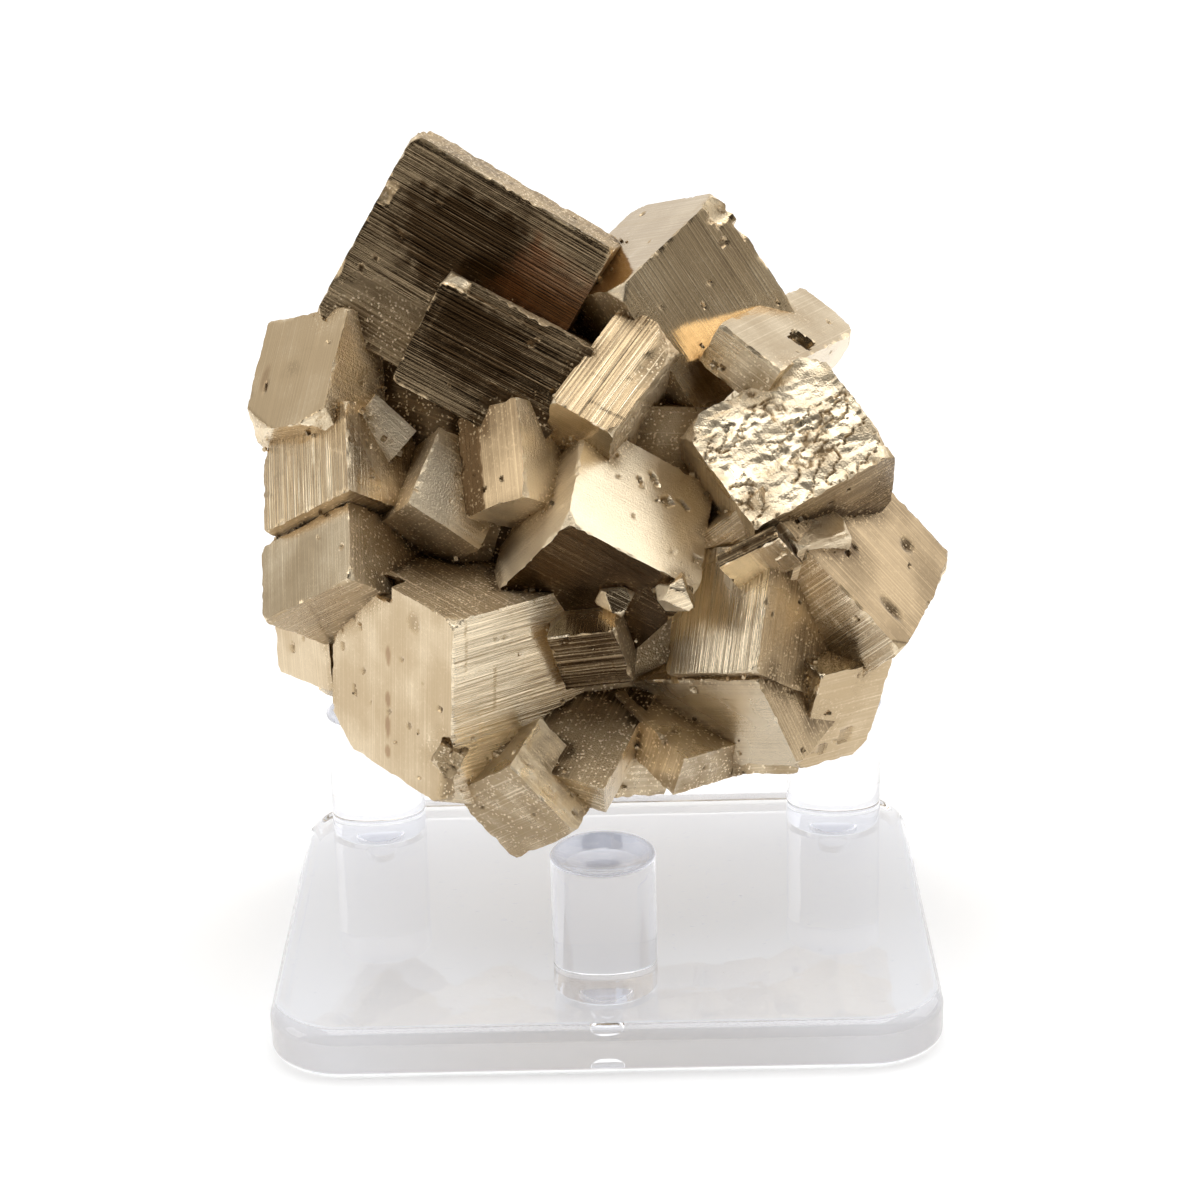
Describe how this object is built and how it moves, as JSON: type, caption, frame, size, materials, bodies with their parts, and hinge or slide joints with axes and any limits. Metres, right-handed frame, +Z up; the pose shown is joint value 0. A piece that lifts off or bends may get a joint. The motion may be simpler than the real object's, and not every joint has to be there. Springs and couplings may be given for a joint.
{
  "type": "pyrite specimen on a display stand",
  "caption": "Cluster of intergrown pyrite cubes resting on a clear display stand: a rounded plate with dished pegs that hold the mineral up.",
  "frame": {"origin": "centre of the underside of the stand's plate", "axes": "+Z up, -Y towards the side with the single front peg, +X to the right seen from there"},
  "size_m": [0.0867, 0.072, 0.0991],
  "materials": {
    "pyrite": "brassy metallic crystal faces, striated and pitted, with grainy broken patches",
    "clear_acrylic": "clear polished acrylic, lightly scratched"
  },
  "bodies": {
    "root": {"pyrite_cluster": "pyrite", "stand_base": "clear_acrylic", "peg_front": "clear_acrylic", "peg_back_left": "clear_acrylic", "peg_back_right": "clear_acrylic"}
  },
  "joints": []
}
